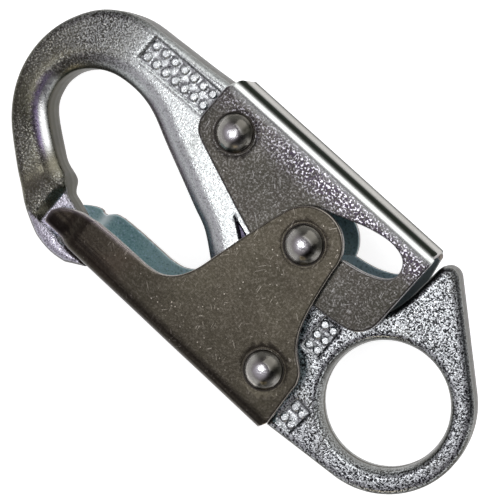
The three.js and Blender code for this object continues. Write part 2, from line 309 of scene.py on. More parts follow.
def closed_plate(name, flat, faces, near, far, place, materials, marks, rows=()):
    """A closed body from a flat mesh: a near and a far skin joined by walls.
    near and far are heights (or depths) for every flat point, and place maps them to space.
    The skins and the walls take the three materials in turn. marks are values for every flat
    point, or a pair of them, for the near skin with the walls and for the far skin.
    rows are (share of the way down the wall, push outwards)."""
    count = len(flat)
    directed = [(f[k], f[(k + 1) % 3]) for f in faces.tolist() for k in range(3)]
    known = set(directed)
    border = [(i, j) for i, j in directed if (j, i) not in known]
    push = np.zeros((count, 2))
    for i, j in border:
        d = flat[j] - flat[i]
        n = np.array([d[1], -d[0]]) / max(np.hypot(*d), 1e-9)
        push[i] += n
        push[j] += n
    size = np.hypot(*push.T)
    rim = np.flatnonzero(size > 0)
    push[rim] /= size[rim, None]
    points = [place(*flat.T, near), place(*flat.T, far)]
    on_rim = np.zeros(count, int)
    on_rim[rim] = np.arange(len(rim))
    levels = [np.arange(count)]
    for number, (share, out) in enumerate(rows):
        depth = near[rim] * (1 - share) + far[rim] * share
        points.append(place(*(flat[rim] + push[rim] * out).T, depth))
        levels.append(2 * count + number * len(rim) + on_rim)
    levels.append(np.arange(count) + count)
    i, j = np.array(border).T
    walls = [np.stack([upper[i], lower[i], lower[j], upper[j]], 1)
             for upper, lower in zip(levels, levels[1:])]
    polygons = faces.tolist() + (faces[:, ::-1] + count).tolist() + np.vstack(walls).tolist()
    kinds = [0] * len(faces) + [1] * len(faces) + [2] * (len(border) * len(walls))
    piece = mesh_piece(name, np.vstack(points), polygons, materials, kinds)
    for key, values in marks.items():
        upper, lower = values if isinstance(values, tuple) else (values, values)
        add_mark(piece, key, np.concatenate([upper, lower, *([upper[rim]] * len(rows))]))
    return piece


def mesh_piece(name, points, polygons, materials, kinds=None, crease=38.0):
    """A smooth-shaded piece from drawing points in millimetres. kinds are its polygons'
    material numbers, and an edge sharper than crease degrees stays sharp."""
    mesh = bpy.data.meshes.new(name)
    spots = np.array(points, float) * MM + np.array(ORIGIN)
    mesh.from_pydata([tuple(p) for p in spots], [], polygons)
    for material in materials:
        mesh.materials.append(material)
    if kinds is not None:
        mesh.polygons.foreach_set("material_index", kinds)
    mesh.validate()
    mesh.polygons.foreach_set("use_smooth", [True] * len(mesh.polygons))
    mesh.set_sharp_from_angle(angle=math.radians(crease))
    piece = bpy.data.objects.new(name, mesh)
    bpy.context.scene.collection.objects.link(piece)
    return piece


# ---------------------------------------------------------------- forged hook body
LIP_FACE = GATE_WEB + FIT + 0.1
PARTING = 0.12              # the flanks lie this far inside the CAD outline
PARTING_RIDGE = 0.08        # and the trimmed parting line stands this far out of them
EDGE_ROUND, BORE_ROUND = 1.5, 1.7       # how far in the outer edges and the bore's are rounded
CHANNEL_WIDTH, CHANNEL_DEPTH = 4.2, 2.4     # of the rounded channel round the throat
OUTER_BOW = [(72.2, 24.8), (75.8, 25.3), (79.5, 25), (82.6, 24), (88.2, 20.9), (95.2, 15.4),
             (102.2, 9), (106.4, 2.1), (108, -5.5), (107, -13), (103.6, -19.8), (99, -24.2),
             (93.1, -26.7), (85.2, -27.5), (75.8, -28.2), (69.9, -28.8)]
BACK = [(62, -28.8), (57, -27.8), (52, -25.4), (47.5, -21.5), (43.5, -15), (39.5, -11.8),
        (33, -11.2), (22, -11.8), (15.5, -13), (12.5, -16), (11.4, -20), (11, -24.5)]
GUARD, GUARD_RADIUS = (8, -28.6), 2.75
THROAT = [(48.5, 2.2), (53.5, -1.6), (58.5, -3.8), (65, -6.7), (72, -9.8), (77.8, -12.5),
          (82, -13.7), (86.5, -13.9), (91, -13.1), (95, -10.9), (97.7, -7.9), (98.8, -4.6),
          (98.7, -2), (97.8, 0.9), (95.6, 3.5), (91, 7.1), (87.6, 9.3), (84.8, 10.3)]
SHOULDER_X = 82.2
SADDLE = ((88.2, 10.4), (90.6, 19.5))       # line of the shallow dip across the nose
SADDLE_WIDTH, SADDLE_DEPTH = 2.2, 0.45
# The marking recesses: their corners, and how many columns and lines of beads they hold.
MARKS = [([(10.4, 11.8), (14.6, 11.4), (15.3, 17.9), (11, 18.4)], 2, 2),
         ([(17.3, -5.9), (21.7, -5.6), (21.4, 2.4), (17.1, 2)], 2, 3),
         ([(69.2, -26.4), (88, -25.9), (88.2, -19.6), (69.4, -20.1)], 7, 2)]
MARK_DEPTH = 0.5
BEAD_RADIUS, BEAD_HEIGHT = 0.85, 0.42
SPINE_NICK = [(50.1, -8.6), (45.5, -5.3), (44.5, -6.8)]
NICK_DEPTH = 1.1


def mark_beads():
    """Centres of the plain raised beads that fill the marking recesses."""
    beads = []
    for corners, columns, lines in MARKS:
        a, b, c, d = np.array(corners)
        for u in (np.arange(columns) + 0.5) / columns:
            for v in (np.arange(lines) + 0.5) / lines:
                beads.append((1 - v) * ((1 - u) * a + u * b) + v * ((1 - u) * d + u * c))
    return np.array(beads)


def mark_outlines():
    return [resample(np.array(corners), 0.5, soften=0.5) for corners, *_ in MARKS]


def forging_outline():
    lip = [(76.2, LIP_FACE), (69.6, LIP_FACE), (67.7, 22.2)]
    return join(
        lip, spline(OUTER_BOW, 90), spline(BACK, 60),
        arc(GUARD, GUARD_RADIUS, 0, -131, 10), arc((0, 0), EYE_RIM, 228.5, 98, 50),
        [(16.1, 20.6), (16.1, 17.4)], arc(GATE_PIVOT, 7, 90, 10, 12),
        [(33.5, 9.2), (40, 6.6), (45, 4.4)], spline(THROAT, 90),
        [(83.3, 11.4), (81.5, 13.4), (79, 14.1), (76.2, 15)])


def saddle_offset(p):
    """Distance from the line of the dip across the nose."""
    a, b = np.array(SADDLE)
    along = (b - a) / np.hypot(*(b - a))
    return (p[:, 0] - a[0]) * along[1] - (p[:, 1] - a[1]) * along[0]


def covered(p, outline):
    """1 inside an outline and 0 outside it, with a border half a millimetre wide."""
    return smooth(0.5 - signed(p, outline) / 0.5)


def forging_skin(p, d_edge, d_bore, d_throat, near_face):
    """Half thickness of the forging over the points p."""
    x, y = p.T
    half = EYE_HALF + (BOW_HALF - EYE_HALF) * ramp(x, 25, 27)
    edge = rounded(d_edge, EDGE_ROUND, EDGE_ROUND)
    channel = rounded(d_throat, CHANNEL_WIDTH, CHANNEL_DEPTH, 1.6)
    bore = rounded(d_bore, BORE_ROUND, EYE_HALF - 0.8, 2.2)
    skin = half - np.maximum(np.maximum(edge, channel), bore)
    skin -= SADDLE_DEPTH * hump(saddle_offset(p), SADDLE_WIDTH) * ramp(y, 4, 9)
    slope = np.clip(x - SHOULDER_X, 0, 4)
    lip = np.clip((y - LIP_FACE + 0.1) / 0.25, 0, 1) * (BOW_HALF - NOSE_HALF)
    floor = NOSE_HALF + np.maximum(slope, lip) - rounded(d_edge, 0.8, 0.6)
    in_nose = (x > 74) & (y > 9)
    skin = np.where(in_nose, np.minimum(skin, floor), skin)
    if near_face:
        for outline in mark_outlines():
            skin -= MARK_DEPTH * covered(p, outline)
        for bead in mark_beads():
            skin += BEAD_HEIGHT * smooth(0.5 + (BEAD_RADIUS - radius_from(p, bead)) / 0.35)
        skin -= NICK_DEPTH * covered(p, np.array(SPINE_NICK))
    else:
        skin = np.minimum(skin, pocket_floor(LOCK_POCKET_HALF, signed(p, lock_pocket_outline())))
    outside = radius_from(p, GATE_PIVOT) - POCKET_RADIUS
    skin = np.minimum(skin, pocket_floor(POCKET_HALF, outside))
    return skin - 0.05 * (1 + waves(p, 0.11, near_face * 9.0))


def pocket_floor(half, outside):
    """Half thickness left by a pocket, from the distance outside its outline."""
    return half + (BOW_HALF - half) * smooth(0.5 + outside / 0.3)


def lock_pocket_outline():
    return join(arc(LOCK_PIVOT, LOCK_POCKET_RADIUS, 135, -90, 24),
                [(58, -30), (46, -30), (46, -24.5)])


def forging_marks(p, d_edge, d_bore, d_throat):
    """Where each tone of the forging lies, from 0 to 1 for every point of p; several are painted
    shade, shadow or highlight.
    """
    x, y = p.T
    plain = np.zeros(len(p))
    # groove marks a painted shadow along each recess's edge and round each bead.
    sunk, groove_shade = plain, plain
    for corners, *_ in MARKS:
        outside = signed(p, np.array(corners))
        sunk = np.maximum(sunk, smooth(0.6 - outside / 0.6))
        groove_shade = np.maximum(groove_shade, hump(outside + 0.1, 0.3))
    for bead in mark_beads():
        groove_shade = np.maximum(groove_shade, hump(radius_from(p, bead) - BEAD_RADIUS - 0.2, 0.22))
    # The nick is a small recess, and this mark paints it dark as shade.
    nick_shade = covered(p, np.array(SPINE_NICK))
    bow = np.maximum(ramp(x, 84, 97), ramp(x, 78, 84) * ramp(y, 3, 7))
    bow *= 1 - 0.42 * ramp(y, -9, -17)
    saddle = hump(saddle_offset(p), 3.0) * ramp(y, 5, 9)
    inner = ramp(x, 87, 90) * ramp(y, -6, -2) * (1 - saddle)
    on_nose = (x > 70) & (x < SHOULDER_X + 0.3) & (y > 9) & (y < LIP_FACE)
    on_lip = (x > 66) * ramp(x, 88, 84) * ramp(y, LIP_FACE, LIP_FACE + 0.5)
    # outer marks the spine side, whose side walls take painted shade.
    outer = ramp(y, -8, -12)
    return {
        "sunk": (sunk, plain), "groove_shade": (groove_shade, plain), "nick_shade": (nick_shade, plain),
        "bow": bow, "saddle": saddle, "outer": outer,
        "spine": ramp(x, 37, 45) * ramp(x, 98, 82) * ramp(y, 2, -2),
        # Painted shade over the middle of the bow.
        "lee_shade": bow * ramp(y, -6, 4) * ramp(y, 11, 6),
        "lilac": on_nose + on_lip,
        # Painted shade on the rounded outer edges and round the bore.
        "rim": hump(np.minimum(d_edge, d_bore), 0.5),
        # Painted shadow on the rounded flank along the spine side's outer edge, strongest by the
        # eye.
        "brink_shadow": outer * hump(d_edge - 0.6, 0.5) * (0.45 + 0.5 * ramp(x, 18, 15)),
        # Painted highlight on the bow's face beside the throat's channel.
        "ledge_highlight": bow * ramp(y, 3, -1) * hump(d_throat - CHANNEL_WIDTH, 0.8),
        # Painted highlight: a bright stripe down the throat's inner chamfer on the bow.
        "stripe_highlight": inner * hump(d_throat - 1.2, 0.75),
        # Painted purple fringe beside the highlight stripe.
        "highlight_fringe": inner * hump(d_throat - 2.35, 0.42),
        # Painted shade, tinted purple, on the throat's chamfers before the shoulder.
        "chamfer_shade": ramp(x, 84, 79) * ramp(d_throat, 2.5, 1.3)}


def make_hook_body(face, wall):
    outline = resample(forging_outline(), 0.65, soften=0.5)
    outline = outline + PARTING * normals(outline) * outward(outline)
    bore = circle((0, 0), EYE_BORE + PARTING, 110)
    pivots = [circle(c, BUSH_RADIUS + FIT, 36) for c in (GATE_PIVOT, LOCK_PIVOT)]
    close = (-0.3, -0.1, 0.1, 0.3)
    features = [(circle(GATE_PIVOT, POCKET_RADIUS, 60), True, close),
                (resample(lock_pocket_outline(), 0.7), True, close)]
    for shoulder in (SHOULDER_X, SHOULDER_X + 2):
        line = np.array([(shoulder, y) for y in np.arange(9, 22, 0.6)])
        features.append((line, False, (0,)))
    lip = np.array([(x, LIP_FACE) for x in np.arange(76, 84.5, 0.6)])
    features.append((lip, False, (-0.2, -0.08, 0.08, 0.2)))
    features += [(mark, True, close) for mark in mark_outlines()]
    features.append((resample(np.array(SPINE_NICK), 0.4), True, close))
    features += [(circle(bead, BEAD_RADIUS, 12), True, (-0.16, 0.08, 0.24)) for bead in mark_beads()]
    flat, faces = flat_mesh(
        outline, [bore, *pivots], (0.06, 0.2, 0.42, 0.7, 1.05, 1.45, 2.0, 2.8), features,
        np.arange(-20, 109, 0.95), np.arange(-32, 27, 0.95), 1.7)
    reach = [distance(flat, outline), distance(flat, bore),
             distance(flat, spline(THROAT, 90), closed=False)]
    piece = closed_plate(
        "hook_body_forging", flat, faces, forging_skin(flat, *reach, True),
        -forging_skin(flat, *reach, False), lambda x, y, z: np.stack([x, y, z], 1),
        (face, face, wall), forging_marks(flat, *reach),
        rows=[(0.2, 0.02), (0.42, PARTING_RIDGE * 0.7), (0.47, PARTING_RIDGE),
              (0.53, PARTING_RIDGE), (0.58, PARTING_RIDGE * 0.7), (0.8, 0.02)])
    # Marks the slopes for painted shade.
    paint_slope_shade(piece)
    return piece


def point_normals(piece):
    lean = np.empty(len(piece.data.vertices) * 3)
    piece.data.vertices.foreach_get("normal", lean)
    return lean.reshape(-1, 3)


def add_mark(piece, name, values):
    """Stores one value for each point, for the piece's material to read."""
    layer = piece.data.attributes.new(name, "FLOAT", "POINT")
    layer.data.foreach_set("value", values.astype(np.float32))


def paint_slope_shade(piece):
    """Marks how far each point leans over, less where it leans to the spine's side, for painted
    shade that darkens the slopes turned away from the key light.
    """
    _, lean_y, lean_z = point_normals(piece).T
    slope_shade = ramp(1 - np.abs(lean_z), 0.08, 0.34)
    add_mark(piece, "slope_shade", slope_shade * (1 - 0.8 * ramp(-lean_y, 0.15, 0.55)))


def outward(loop):
    """-1 or +1, so that normals(loop) times it points into the material."""
    x, y = loop.T
    area = (x * np.roll(y, -1) - y * np.roll(x, -1)).sum()
    return -1.0 if area > 0 else 1.0


# ---------------------------------------------------------------- folded plates
EDGE_BREAK = 0.3
EAR, EAR_RADIUS = (34.3, -15.1), 8.1        # of the gate, over the latch rivet


class Channel:
    """A U channel of sheet, unfolded to (x, run). The run goes round the section from the
    web's centre line, and has a sign: it tells one cheek from the other."""

    def __init__(self, web, half, inset=None):
        self.web = web
        self.flat = half - BEND
        self.inset = inset

    def run(self, y):
        """The run to height y on a cheek."""
        return self.flat + BEND_RUN + np.abs(self.web - y) - BEND

    def past_bend(self, run):
        return np.abs(run) - self.flat - BEND_RUN

    def in_bend(self, run):
        """0 where the web meets the bend, 1 where the cheek does."""
        return (np.abs(run) - self.flat) / BEND_RUN

    def place(self, x, run, depth):
        """Folds the sheet up: points at a depth below its outside."""
        up = math.copysign(1, self.web)
        reach = np.abs(run)
        angle = np.clip((reach - self.flat) / MID_BEND, 0, math.pi / 2)
        radius = BEND - depth
        z = np.minimum(reach, self.flat) + radius * np.sin(angle)
        if self.inset is not None:
            z = z - self.inset(x) * np.minimum(reach / self.flat, 1)
        y = self.web - up * (BEND - radius * np.cos(angle) + np.maximum(self.past_bend(run), 0))
        return np.stack([x, y, -up * np.sign(run) * z], 1)

    def on_cheeks(self, centre):
        """A centre's two places, one on each cheek."""
        return [(centre[0], side * self.run(centre[1])) for side in (1, -1)]

    def lattice_rows(self, rim):
        """Rows across the channel: close in the bends, wider on the flats."""
        web = np.linspace(-self.flat, self.flat, max(4, int(2 * self.flat / 1.3)))
        bend = self.flat + BEND_RUN * np.linspace(0, 1, 9)[1:]
        cheek = np.arange(self.flat + BEND_RUN + 1.1, rim, 1.25)
        return np.concatenate([-cheek[::-1], -bend[::-1], web, bend, cheek])


def both_sides(half_outline):
    """A full unfolded outline from its half, given from the web's centre line and back."""
    mirrored = half_outline[::-1] * np.array([1, -1])
    return np.vstack([half_outline, mirrored[1:-1] if half_outline[0][1] == 0 else mirrored])


def sheet_piece(name, channel, outline, holes, lattice, rings_at, materials, zones):
    """A folded plate with its cut edges broken and a faint pressed ring round each rivet."""
    ring_lines = [(circle(c, r, 44), True, (0,)) for c in rings_at for r in PRESSED_RINGS]
    flat, faces = flat_mesh(outline, holes, (0.05, 0.13, 0.28, 0.55), ring_lines, *lattice, 0.85)
    rim = np.min([distance(flat, loop) for loop in (outline, *holes)], 0)
    broken = rounded(rim, EDGE_BREAK, EDGE_BREAK)
    outer = broken + 0.035 * (1 + waves(flat, 0.07, 3.3))
    for centre in rings_at:
        outer = outer + 0.09 * hump(radius_from(flat, centre) - PRESSED_RINGS[1], 0.16)
    return closed_plate(name, flat, faces, outer, SHEET - broken, channel.place, materials,
                        {"edge": np.exp(-rim / 0.35), **zones(*flat.T)})


def joggle(x):
    return JOGGLE_DEPTH * ramp(x, JOGGLE_FROM, JOGGLE_TO)


def make_gate(materials):
    channel = Channel(GATE_WEB, GATE_HALF, joggle)
    cheek = join(
        [(16.2, 10)],
        spline([(16.3, 8), (17.6, 5.6), (21.4, 2.2), (23.8, -2.4), (25.3, -9), (26.3, -15.5)], 40),
        arc(EAR, EAR_RADIUS, 188, 345, 40),
        spline([(43.1, -14.5), (45.2, -7), (46.8, -1), (48.3, 4.4), (50.5, 8.3),
                (53.5, 10.6), (57, 11.3)], 36),
        [(66, 11.4), (71, 11.7), (74.5, 12.5), (77.5, 13.8), (79.7, 15.2), (80.8, 16.9)])
    cheek[:, 1] = channel.run(cheek[:, 1])
    flat = channel.flat
    ear = flat + 0.5 * BEND_RUN
    half_outline = join(
        [(GATE_END, 0), (GATE_END, flat + 0.4 * BEND_RUN), (GATE_CHEEK_END, flat + BEND_RUN)],
        cheek, [(80.8, flat + BEND_RUN), (80.5, ear), (GATE_WEB_TIP, ear), (GATE_WEB_TIP, 0)])
    outline = resample(both_sides(half_outline), 0.7, soften=0.4)
    far_rim = outline[:, 1] > channel.run(16)
    outline[far_rim, 1] -= RIM_DIP * hump(outline[far_rim, 0] - RIM_DIP_X, 0.9)
    gate_at, latch_at = channel.on_cheeks(GATE_PIVOT), channel.on_cheeks(LATCH)
    holes = []
    for at_gate, at_latch in zip(gate_at, latch_at):
        holes += [circle(at_gate, PIVOT_SHANK + FIT, 24), circle(at_latch, LATCH_SHANK + FIT, 24)]
    columns = np.concatenate([np.arange(15, 71.5, 1.3), np.arange(71.5, 77.2, 0.45),
                              np.arange(77.2, 81.5, 1.0)])

    def zones(x, run):
        tip = ramp(x, 56, 68)
        off_bend = np.abs(run) - flat - 0.5 * BEND_RUN - 1.6 * tip
        return {"belt": hump(off_bend, 1.3 + 2.4 * tip), "tip": tip,
                # Painted highlight across the joggle.
                "facet": hump(x - 74.0, 0.9), "end": np.zeros(len(x))}

    return sheet_piece("gate_plate", channel, outline, holes,
                       (columns, channel.lattice_rows(channel.run(-24))),
                       gate_at + latch_at, materials, zones)


def latch_slot():
    """The way of the latch rivet past the lock plate, as a closed outline."""
    way = []
    for share in np.linspace(0, 1, 16):
        carried = turned(LATCH, GATE_PIVOT, -GATE_OPENING * share)
        way.append(turned(carried, LOCK_PIVOT, LOCK_TRAVEL * share))
    way = np.array(way)
    n = normals(way, closed=False)
    radius = LATCH_SHANK + FIT
    start, end = np.degrees(np.arctan2(n[[0, -1], 1], n[[0, -1], 0]))
    return join(way + radius * n, arc(way[-1], radius, end, end + 180, 10)[1:-1],
                (way - radius * n)[::-1], arc(way[0], radius, start + 180, start + 360, 10)[1:-1])


def union_outline(first, second):
    """The outline round two that overlap: the stretch of each that lies outside the other."""
    out = []
    for loop, other in ((first, second), (second, first)):
        free = ~inside(loop, other)
        start = np.flatnonzero(free & ~np.roll(free, 1))[0]
        order = np.roll(np.arange(len(loop)), -start)
        out.append(loop[order[free[order]]])
    a, b = out
    if np.hypot(*(a[-1] - b[0])) > np.hypot(*(a[-1] - b[-1])):
        b = b[::-1]
    return np.vstack([a, b])


def make_lock(materials):
    channel = Channel(LOCK_WEB, LOCK_HALF)
    cheek = join(
        spline([(12.2, -16), (12.3, -12), (13.4, -9.4), (15.8, -7.6), (20, -6.7)], 30),
        [(25, -6.3), (38, -6.8), (44.8, -8.5), (50.1, -10.3), (60, -14)],
        spline([(64, -15.5), (67.2, -17), (68.8, -19.4), (69, -22)], 16), [(68.9, -28.3)])
    cheek[:, 1] = channel.run(cheek[:, 1])
    flat = channel.flat
    half_outline = join([(LOCK_WEB_END, 0), (LOCK_WEB_END, flat + 0.4 * BEND_RUN),
                         (LOCK_END, flat + 0.6 * BEND_RUN)], cheek,
                        [(67.9, flat + 0.5 * BEND_RUN), (67.6, flat), (67.6, 0)])
    outline = both_sides(half_outline)
    far_end = (outline[:, 1] < -flat - BEND_RUN) & (outline[:, 0] < 13.5)
    outline[far_end, 0] -= FAR_CHEEK_REACH * smooth((channel.run(-13) + outline[far_end, 1]) / 3)
    outline = resample(outline, 0.7, soften=0.4)
    window = spline([(34, -17.2), (27.6, -17.6), (24, -18.1), (20.4, -19.1), (17, -20.9),
                     (15.9, -23.2), (17.2, -26), (20.9, -27.1), (26, -26.4), (31, -24.7),
                     (35.5, -22.6), (36.6, -19.4), (34, -17.2)], 90)[:-1]
    opening = resample(union_outline(resample(window, 0.5), resample(latch_slot(), 0.5)), 0.6)
    pivot_at = channel.on_cheeks(LOCK_PIVOT)
    holes = []
    for side, centre in zip((1, -1), pivot_at):
        holes += [circle(centre, PIVOT_SHANK + FIT, 24),
                  np.stack([opening[:, 0], side * channel.run(opening[:, 1])], 1)]

    def zones(x, run):
        past_bend, in_bend = channel.past_bend(run), channel.in_bend(run)
        # belt is the plate's speckle along the bends, and its bright specks are painted glints.
        belt = ramp(past_bend, -0.5, 0.1) * ramp(past_bend, 6.8, 1.8)
        return {"belt": belt * (0.35 + 0.65 * ramp(x, 60, 42)),
                "web": ramp(in_bend, -0.4, -0.8),
                # Painted shade: a dark line from the web's edge into the bend.
                "crease": ramp(in_bend, -0.95, -0.35) * ramp(in_bend, 0.56, 0.44),
                # Painted highlight: a bright line along each bend.
                "bright": hump(in_bend - 0.74, 0.20),
                # Painted shade on the inside near the lock's end.
                "end": ramp(x, 14, 12.5)}

    return sheet_piece("lock_lever_plate", channel, outline, holes,
                       (np.arange(11.5, 70, 1.3), channel.lattice_rows(channel.run(-5.5))),
                       pivot_at, materials, zones)


# ---------------------------------------------------------------- turned pieces
LATHE_SIDES = 56


def lathe(name, profile, centre, material):
    """A profile of (radius, z) turned about the vertical through centre. A closed profile
    makes a ring; one that starts and ends on the axis makes a solid."""
    points, polygons, rings = [], [], []
    for radius, z in profile:
        if radius == 0:
            rings.append([len(points)] * LATHE_SIDES)
            points.append((*centre, z))
            continue
        rings.append(list(range(len(points), len(points) + LATHE_SIDES)))
        points += [(*spot, z) for spot in circle(centre, radius, LATHE_SIDES)]
    if profile[0][0] > 0:
        rings.append(rings[0])
    for lower, upper in zip(rings, rings[1:]):
        for k in range(LATHE_SIDES):
            n = (k + 1) % LATHE_SIDES
            polygons.append(tuple(dict.fromkeys((lower[k], lower[n], upper[n], upper[k]))))
    return mesh_piece(name, points, polygons, [material])


def rivet_profile(shank, seat):
    """Half of a rivet, from its mid-length out over a dome that stands on a pressed flange."""
    dome_from = seat + 0.34
    height = HEAD_HEIGHT + FIT / 2 - 0.36
    ball = (HEAD_RADIUS ** 2 + height ** 2) / (2 * height)
    sweep = math.asin(HEAD_RADIUS / ball)
    profile = [(shank, 0.0), (shank, seat - 0.4), (shank + 0.05, seat + 0.02),
               (FLANGE_RADIUS - 0.1, seat + 0.02), (FLANGE_RADIUS, seat + 0.08),
               (FLANGE_RADIUS - 0.05, seat + 0.17), (FLANGE_RADIUS - 0.2, seat + 0.2),
               (HEAD_RADIUS + 0.02, seat + 0.14), (HEAD_RADIUS, dome_from - 0.06)]
    for share in np.linspace(1, 0, 15):
        a = sweep * share
        flatten = 0.12 * max(0.0, 1 - (share / 0.35) ** 2)
        radius = 0.0 if share == 0 else ball * math.sin(a)
        profile.append((radius, dome_from + height - ball * (1 - math.cos(a)) - flatten))
    return profile


def make_rivet(name, centre, shank, half, material):
    upper = rivet_profile(shank, half)[1:]
    lower = [(r, -z) for r, z in upper[::-1]]
    piece = lathe(name, lower + upper, centre, material)
    lean_x, lean_y, _ = point_normals(piece).T
    add_mark(piece, "shade", ramp(-lean_x, 0.14, 0.34) * ramp(lean_x, -0.88, -0.68))
    # Painted shade on the side of the dome that faces the key light.
    add_mark(piece, "key_side_shade", ramp(-lean_y, 0.12, 0.42))
    spots = np.array([(v.co - row(*centre, 0)).xy for v in piece.data.vertices]) / MM
    reach = np.hypot(*spots.T)
    # Painted shade on the flange, in place of its reflection.
    add_mark(piece, "flange", ramp(reach, HEAD_RADIUS - 0.12, HEAD_RADIUS - 0.02))
    # Painted highlight on the crown.
    add_mark(piece, "crown_highlight", ramp(reach, 2.2, 0.6))
    return piece


def make_bush(name, centre, half, material):
    bore, outer, chamfer = PIVOT_SHANK + FIT, BUSH_RADIUS, 0.25
    upper = [(outer, half * 0.5), (outer, half - chamfer), (outer - chamfer * 0.3, half - 0.06),
             (outer - chamfer, half), (bore + chamfer, half), (bore + 0.06, half - 0.08),
             (bore, half - chamfer), (bore, half * 0.5)]
    return lathe(name, upper + [(r, -z) for r, z in upper[::-1]], centre, material)


# ---------------------------------------------------------------- springs
WIRE_SIDES = 14
TURN_STEPS = 24         # steps round one turn of a coil
SPAN_STEPS = 8          # steps between two stops of a spring's arm


def coil(centre, radius, start, turns, z0, z1):
    share = np.linspace(0, 1, int(round(abs(turns) * TURN_STEPS)) + 1)
    a = np.radians(start + 360 * turns * share)
    return np.stack([centre[0] + radius * np.cos(a), centre[1] + radius * np.sin(a),
                     z0 + (z1 - z0) * share], 1)


def with_arm(turns, bends):
    """A coil whose end runs on smoothly through the bends."""
    stops = join([turns[-3], turns[-1]], bends)
    return join(turns, spline(stops, (len(stops) - 1) * SPAN_STEPS)[SPAN_STEPS + 1:])


def wire(name, path, gauge, material):
    """A round wire swept along a path, with rounded ends. gauge is its radius."""
    tangent = np.gradient(path, axis=0)
    tangent /= np.sqrt((tangent ** 2).sum(1))[:, None]
    side = Vector(tangent[0]).cross(Vector((0, 0, 1))).normalized()
    rings, last = [], len(path) - 1
    for spot, t in zip(path, map(Vector, tangent)):
        side = (side - t * side.dot(t)).normalized()
        rings.append((Vector(spot), side.copy(), t.cross(side)))
    rows = [(0, -0.9, 0.45), (0, -0.6, 0.8), *((k, 0.0, 1.0) for k in range(last + 1)),
            (last, 0.6, 0.8), (last, 0.9, 0.45)]
    points, polygons = [], []
    for k, push, scale in rows:
        middle, x, y = rings[k]
        middle = middle + Vector(tangent[k]) * gauge * push
        for s in range(WIRE_SIDES):
            a = 2 * math.pi * s / WIRE_SIDES
            points.append(middle + (x * math.cos(a) + y * math.sin(a)) * gauge * scale)
    for base in range(0, len(points) - WIRE_SIDES, WIRE_SIDES):
        for s in range(WIRE_SIDES):
            here, beside = base + s, base + (s + 1) % WIRE_SIDES
            polygons.append((here, here + WIRE_SIDES, beside + WIRE_SIDES, beside))
    polygons.append(tuple(range(WIRE_SIDES)))
    polygons.append(tuple(range(len(points) - WIRE_SIDES, len(points)))[::-1])
    return mesh_piece(name, points, polygons, [material], crease=60)


def make_gate_springs(material):
    """The near and far halves of the double torsion spring, joined at the mid-plane."""
    gauge, winding = 0.6, 4.85
    start_z, end_z = POCKET_HALF + 0.95, GATE_HALF - SHEET - 0.95
    bridge = GATE_WEB - SHEET - FIT - gauge
    path = with_arm(
        coil(GATE_PIVOT, winding, 200, -2.25, start_z, end_z),
        [(29.5, 16.6, end_z), (33, bridge, end_z - 0.3), (34, bridge, end_z - 1.6),
         (34.1, bridge, 3), (34.1, bridge, 0)])
    pieces = []
    for side, label in ((1, "near"), (-1, "far")):
        piece = wire(f"gate_spring_{label}", path * np.array([1, 1, side]), gauge, material)
        middle = np.array([*GATE_PIVOT, 0])
        toward = np.array([0.6, 0.45, 0.66 * side])
        ends = [row(*(middle + toward * reach)) for reach in (-0.5, 6.0)]
        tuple(ends[0])
        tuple(ends[1])
        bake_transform(piece)
        pieces.append(piece)
    return pieces


def make_lock_spring(material):
    gauge, winding = 0.5, 4.6
    z0, z1 = -LOCK_POCKET_HALF - 0.8, -LOCK_HALF + SHEET + 0.8
    web = LOCK_WEB + SHEET + FIT + gauge
    path = with_arm(coil(LOCK_PIVOT, winding, 60, 1.5, z0, z1),
                    [(55.5, -27.3, z1), (50, web + 0.1, z1), (47.5, web, z1)])
    piece = wire("lock_spring_wire", path, gauge, material)
    row(*LOCK_PIVOT, z0)
    row(*LOCK_PIVOT, z1)
    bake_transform(piece)
    return piece


# ---------------------------------------------------------------- materials
class Nodes:
    """A node tree, with a short call for each kind of node."""

    def __init__(self, tree):
        self.tree = tree

    def node(self, kind, inputs=None, **settings):
        """Adds a node. Each of its inputs is a plain value, or a socket to link it to."""
        made = self.tree.nodes.new(kind)
        for key, value in settings.items():
            setattr(made, key, value)
        for key, value in (inputs or {}).items():
            if isinstance(value, bpy.types.NodeSocket):
                self.link(value, made.inputs[key])
            else:
                made.inputs[key].default_value = value
        return made

    def link(self, source, target):
        self.tree.links.new(source, target)

    def rgb(self, color):
        made = self.node("ShaderNodeRGB")
        made.outputs[0].default_value = (*color, 1)
        return made.outputs[0]

    def window(self, value, low, high, to_low=0.0, to_high=1.0):
        """Carries low to to_low and high to to_high, and holds the value between them."""
        inputs = {"Value": value, "From Min": low, "From Max": high, "To Min": to_low,
                  "To Max": to_high}
        return self.node("ShaderNodeMapRange", inputs).outputs["Result"]

    def mix(self, under, over, mask):
        """The colour over where mask is 1, and the colour under where it is 0."""
        inputs = {0: mask, 6: under, 7: (*over, 1)}
        return self.node("ShaderNodeMix", inputs, data_type="RGBA").outputs[2]


